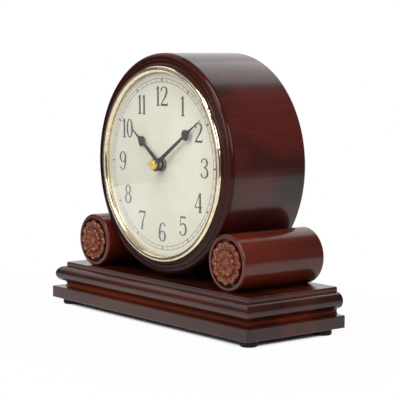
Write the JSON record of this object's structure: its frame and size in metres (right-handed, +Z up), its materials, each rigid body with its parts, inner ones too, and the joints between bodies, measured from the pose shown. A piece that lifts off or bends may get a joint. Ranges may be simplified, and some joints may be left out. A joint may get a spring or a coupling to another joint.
{
  "type": "tambour mantel clock",
  "caption": "Mahogany mantel clock: a round drum with gold bezel, domed glass and spade hands between two rosetted rolls on a moulded base, with a quartz movement inside.",
  "frame": {"origin": "on the floor under the middle of the base", "axes": "+X to the viewer's right, -Y out of the dial, +Z up"},
  "size_m": [0.2668, 0.0994, 0.219],
  "materials": {
    "mahogany": "dark red stain under semi-gloss lacquer",
    "rosette_wood": "carved, coppery brown, satin",
    "back_board": "stained board, matt",
    "foot_rubber": "black",
    "gold": "polished pale gold",
    "clear_glass": "clear, polished",
    "dial_cream": "cream, satin",
    "hand_black": "black gloss",
    "brass": "polished",
    "steel": "zinc plated",
    "soft_iron": "rolled sheet",
    "magnet": "sintered",
    "copper": "enamelled wire",
    "case_black": "black moulding",
    "gear_white": "natural white moulding",
    "circuit_green": "green mask",
    "cell_wrap": "plain dark wrap"
  },
  "bodies": {
    "case": {"base_bottom_board": "mahogany", "base_neck_board": "mahogany", "base_torus_board": "mahogany", "base_cap_board": "mahogany", "roll_left": "mahogany", "roll_right": "mahogany", "drum_shell": "mahogany", "front_ring": "mahogany", "drum_saddle": "mahogany", "rosette_left": "rosette_wood", "rosette_right": "rosette_wood", "back_panel": "back_board", "feet": "foot_rubber", "rubber_washer": "foot_rubber", "bezel": "gold", "glass_dome": "clear_glass", "dial_plate": "dial_cream", "dial_spacer": "dial_cream", "dial_washer": "hand_black", "base_screws": "steel", "back_panel_screws": "steel", "hex_nut": "steel", "dial_retainer": "steel", "contact_positive": "steel", "contact_negative": "steel", "quartz_crystal": "steel", "stator": "soft_iron", "coil_core": "soft_iron", "coil_winding": "copper", "movement_front_case": "case_black", "movement_back_case": "case_black", "timing_chip": "case_black", "train_bridge": "gear_white", "coil_bobbin": "gear_white", "circuit_board": "circuit_green"},
    "minute_work": {"minute_hand": "hand_black", "hand_nut": "brass", "centre_arbor": "brass", "clutch_spring": "steel"},
    "hour_work": {"hour_hand": "hand_black", "hour_wheel": "gear_white"},
    "motion_work": {"motion_wheel": "gear_white"},
    "setting_work": {"setting_gear": "gear_white", "setting_knob": "case_black"},
    "rotor": {"rotor_pinion": "brass", "rotor_magnet": "magnet"},
    "intermediate": {"intermediate_wheel": "gear_white"},
    "seconds": {"seconds_wheel": "gear_white"},
    "third": {"third_wheel": "gear_white"},
    "centre": {"centre_wheel": "gear_white"},
    "cell": {"battery": "cell_wrap"}
  },
  "joints": [
    {"name": "minute_turn", "type": "hinge", "parent": "case", "child": "minute_work", "pos_m": [0, -0.0273, 0.129], "axis": [0, 1, 0], "continuous": true},
    {"name": "hour_turn", "type": "hinge", "parent": "case", "child": "hour_work", "pos_m": [0, -0.0273, 0.129], "axis": [0, 1, 0], "continuous": true},
    {"name": "motion_turn", "type": "hinge", "parent": "case", "child": "motion_work", "pos_m": [-0.0084, -0.0273, 0.129], "axis": [0, 1, 0], "continuous": true},
    {"name": "setting_turn", "type": "hinge", "parent": "case", "child": "setting_work", "pos_m": [-0.01749, -0.0273, 0.13425], "axis": [0, 1, 0], "continuous": true},
    {"name": "rotor_turn", "type": "hinge", "parent": "case", "child": "rotor", "pos_m": [-0.00736, -0.0273, 0.14179], "axis": [0, 1, 0], "continuous": true},
    {"name": "intermediate_turn", "type": "hinge", "parent": "case", "child": "intermediate", "pos_m": [-0.00311, -0.0273, 0.13755], "axis": [0, 1, 0], "continuous": true},
    {"name": "seconds_turn", "type": "hinge", "parent": "case", "child": "seconds", "pos_m": [0, -0.0273, 0.129], "axis": [0, 1, 0], "continuous": true},
    {"name": "third_turn", "type": "hinge", "parent": "case", "child": "third", "pos_m": [0.00886, -0.0273, 0.13056], "axis": [0, 1, 0], "continuous": true},
    {"name": "centre_turn", "type": "hinge", "parent": "case", "child": "centre", "pos_m": [0, -0.0273, 0.129], "axis": [0, 1, 0], "continuous": true},
    {"name": "cell_slide", "type": "slide", "parent": "case", "child": "cell", "axis": [0, 1, 0], "range_m": [0, 0.018]}
  ],
  "couplings": [
    {"joint": "hour_turn", "follows": "minute_turn", "ratio": 0.083333},
    {"joint": "motion_turn", "follows": "minute_turn", "ratio": -0.33333},
    {"joint": "setting_turn", "follows": "minute_turn", "ratio": 0.5},
    {"joint": "intermediate_turn", "follows": "rotor_turn", "ratio": -0.2},
    {"joint": "seconds_turn", "follows": "rotor_turn", "ratio": 0.033333},
    {"joint": "third_turn", "follows": "rotor_turn", "ratio": -0.0044444},
    {"joint": "centre_turn", "follows": "rotor_turn", "ratio": 0.00055556}
  ]
}
